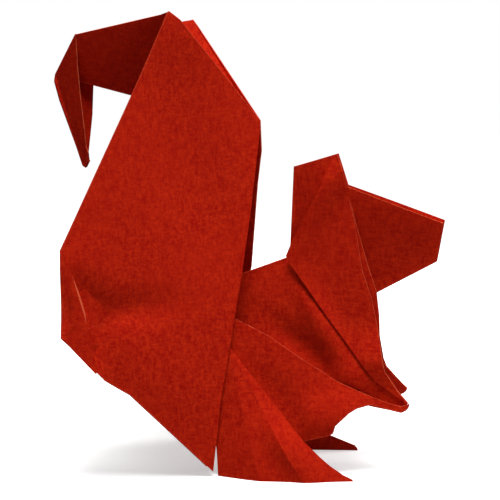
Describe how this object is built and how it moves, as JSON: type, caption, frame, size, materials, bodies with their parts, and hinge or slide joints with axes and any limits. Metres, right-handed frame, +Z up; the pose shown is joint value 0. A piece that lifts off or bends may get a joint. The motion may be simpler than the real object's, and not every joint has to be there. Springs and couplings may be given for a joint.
{
  "type": "origami squirrel",
  "caption": "Sitting squirrel folded from one square sheet of heavy red paper, with a tall tail that curls over at the top.",
  "frame": {"origin": "on the floor, midway along the length and on the plane that the two halves mirror about", "axes": "+X is the way the squirrel faces, +Z is up, +Y is its left side"},
  "size_m": [0.0892, 0.0474, 0.1027],
  "materials": {
    "paper": "matt, dyed through"
  },
  "bodies": {
    "root": {"folded_sheet": "paper"}
  },
  "joints": []
}
